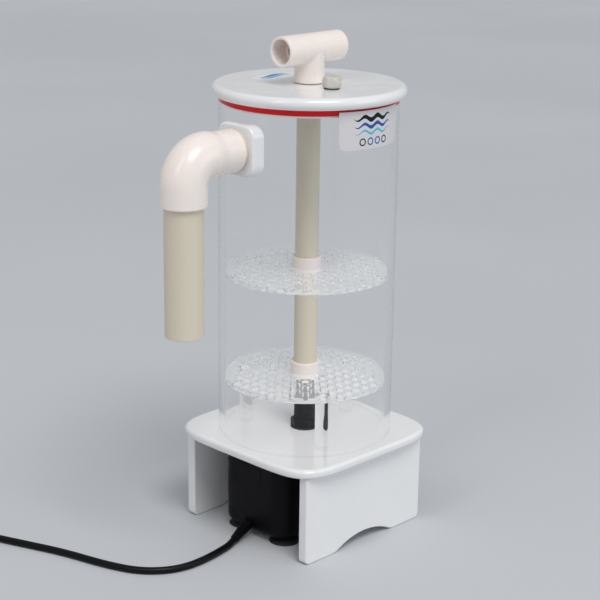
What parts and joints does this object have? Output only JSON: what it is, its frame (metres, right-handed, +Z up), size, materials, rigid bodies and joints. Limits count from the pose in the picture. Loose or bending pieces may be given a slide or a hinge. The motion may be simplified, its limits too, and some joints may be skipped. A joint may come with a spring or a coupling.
{
  "type": "aquarium media reactor",
  "caption": "Clear upright column on a raised white base with a pump below, a sealed lid with an inlet tee, perforated plates on a riser and a side outlet elbow with a drop pipe.",
  "frame": {"origin": "on the floor, on the column's axis, midway between the two leg plates", "axes": "+Z up along the column; the leg plates face +Y and -Y; the outlet elbow is on the -X side; the label faces -Y"},
  "size_m": [0.437, 0.3132, 0.4285],
  "materials": {
    "white_pvc": "satin white PVC sheet, cut and routed",
    "clear_acrylic": "polished clear cast acrylic",
    "label_film": null,
    "sticker_film": null,
    "pipe_pvc": "extruded PVC pressure pipe, warm grey beige",
    "fitting_pvc": "injection moulded PVC, warm white",
    "red_silicone": "red silicone",
    "black_rubber": "matt black nitrile rubber",
    "natural_nylon": "translucent natural nylon",
    "pump_abs": "fine textured black ABS",
    "electrical_steel": "laminated electrical steel",
    "enamelled_copper": "enamelled copper winding",
    "stainless_steel": "stainless steel",
    "nickel_brass": "nickel plated brass",
    "impeller_plastic": "glass filled nylon",
    "ferrite": "sintered ferrite magnet",
    "ceramic_shaft": "ground alumina ceramic",
    "cord_pvc": "soft black PVC sheath"
  },
  "bodies": {
    "root": {"base_plate": "white_pvc", "front_leg": "white_pvc", "rear_leg": "white_pvc", "column": "clear_acrylic", "column_label": "label_film", "pillar_1": "clear_acrylic", "pillar_2": "clear_acrylic", "pillar_3": "clear_acrylic", "outlet_flange": "white_pvc", "outlet_stub": "pipe_pvc", "motor_housing": "pump_abs", "rotor_well": "pump_abs", "stator_core": "electrical_steel", "stator_coil": "enamelled_copper", "volute": "pump_abs", "volute_seal": "black_rubber", "front_cover": "pump_abs", "cover_screws": "stainless_steel", "rotor_shaft": "ceramic_shaft", "rear_bush": "black_rubber", "front_bush": "black_rubber", "pump_nozzle": "pump_abs", "nozzle_gasket": "black_rubber", "nozzle_washer": "black_rubber", "nozzle_nut": "pump_abs", "pump_foot_1": "black_rubber", "pump_foot_2": "black_rubber", "pump_foot_3": "black_rubber", "pump_foot_4": "black_rubber", "cord_relief": "cord_pvc", "power_cord": "cord_pvc", "cord_coil": "cord_pvc", "cord_tail": "cord_pvc", "mains_plug": "cord_pvc", "plug_pins": "nickel_brass"},
    "core": {"riser_pipe": "pipe_pvc", "lower_coupling": "fitting_pvc", "upper_coupling": "fitting_pvc", "lower_plate": "clear_acrylic", "upper_plate": "clear_acrylic"},
    "lid": {"lid": "white_pvc", "lid_plug": "white_pvc", "lid_oring": "red_silicone", "lid_sticker": "sticker_film", "inlet_pipe": "pipe_pvc"},
    "tee": {"inlet_tee": "fitting_pvc"},
    "bleed_seal": {"bleed_seal": "black_rubber"},
    "bleed_plug": {"bleed_plug": "natural_nylon"},
    "outlet": {"outlet_elbow": "fitting_pvc", "drop_pipe": "pipe_pvc"},
    "rotor": {"impeller": "impeller_plastic", "rotor_magnet": "ferrite"},
    "strainer": {"strainer": "pump_abs"}
  },
  "joints": [
    {"name": "core_lift", "type": "slide", "parent": "root", "child": "core", "axis": [0, 0, 1], "range_m": [0, 0.25]},
    {"name": "lid_lift", "type": "slide", "parent": "core", "child": "lid", "axis": [0, 0, 1], "range_m": [0, 0.15]},
    {"name": "tee_turn", "type": "hinge", "parent": "lid", "child": "tee", "pos_m": [0, 0, 0.416], "axis": [0, 0, 1], "range_deg": [-180, 180]},
    {"name": "bleed_rise", "type": "slide", "parent": "lid", "child": "bleed_seal", "axis": [0, 0, 1], "range_m": [0, 0.00375]},
    {"name": "bleed_turn", "type": "hinge", "parent": "bleed_seal", "child": "bleed_plug", "pos_m": [-0.009, -0.034, 0.39], "axis": [0, 0, 1], "range_deg": [0, 1080]},
    {"name": "elbow_swivel", "type": "hinge", "parent": "root", "child": "outlet", "pos_m": [-0.098, 0, 0.343], "axis": [1, 0, 0], "range_deg": [-90, 90]},
    {"name": "rotor_spin", "type": "hinge", "parent": "root", "child": "rotor", "pos_m": [0, 0, 0.038], "axis": [1, 0, 0], "continuous": true},
    {"name": "strainer_pull", "type": "slide", "parent": "root", "child": "strainer", "axis": [1, 0, 0], "range_m": [0, 0.05]}
  ],
  "couplings": [
    {"joint": "bleed_turn", "follows": "bleed_rise", "rad_per_m": 5026.5}
  ]
}
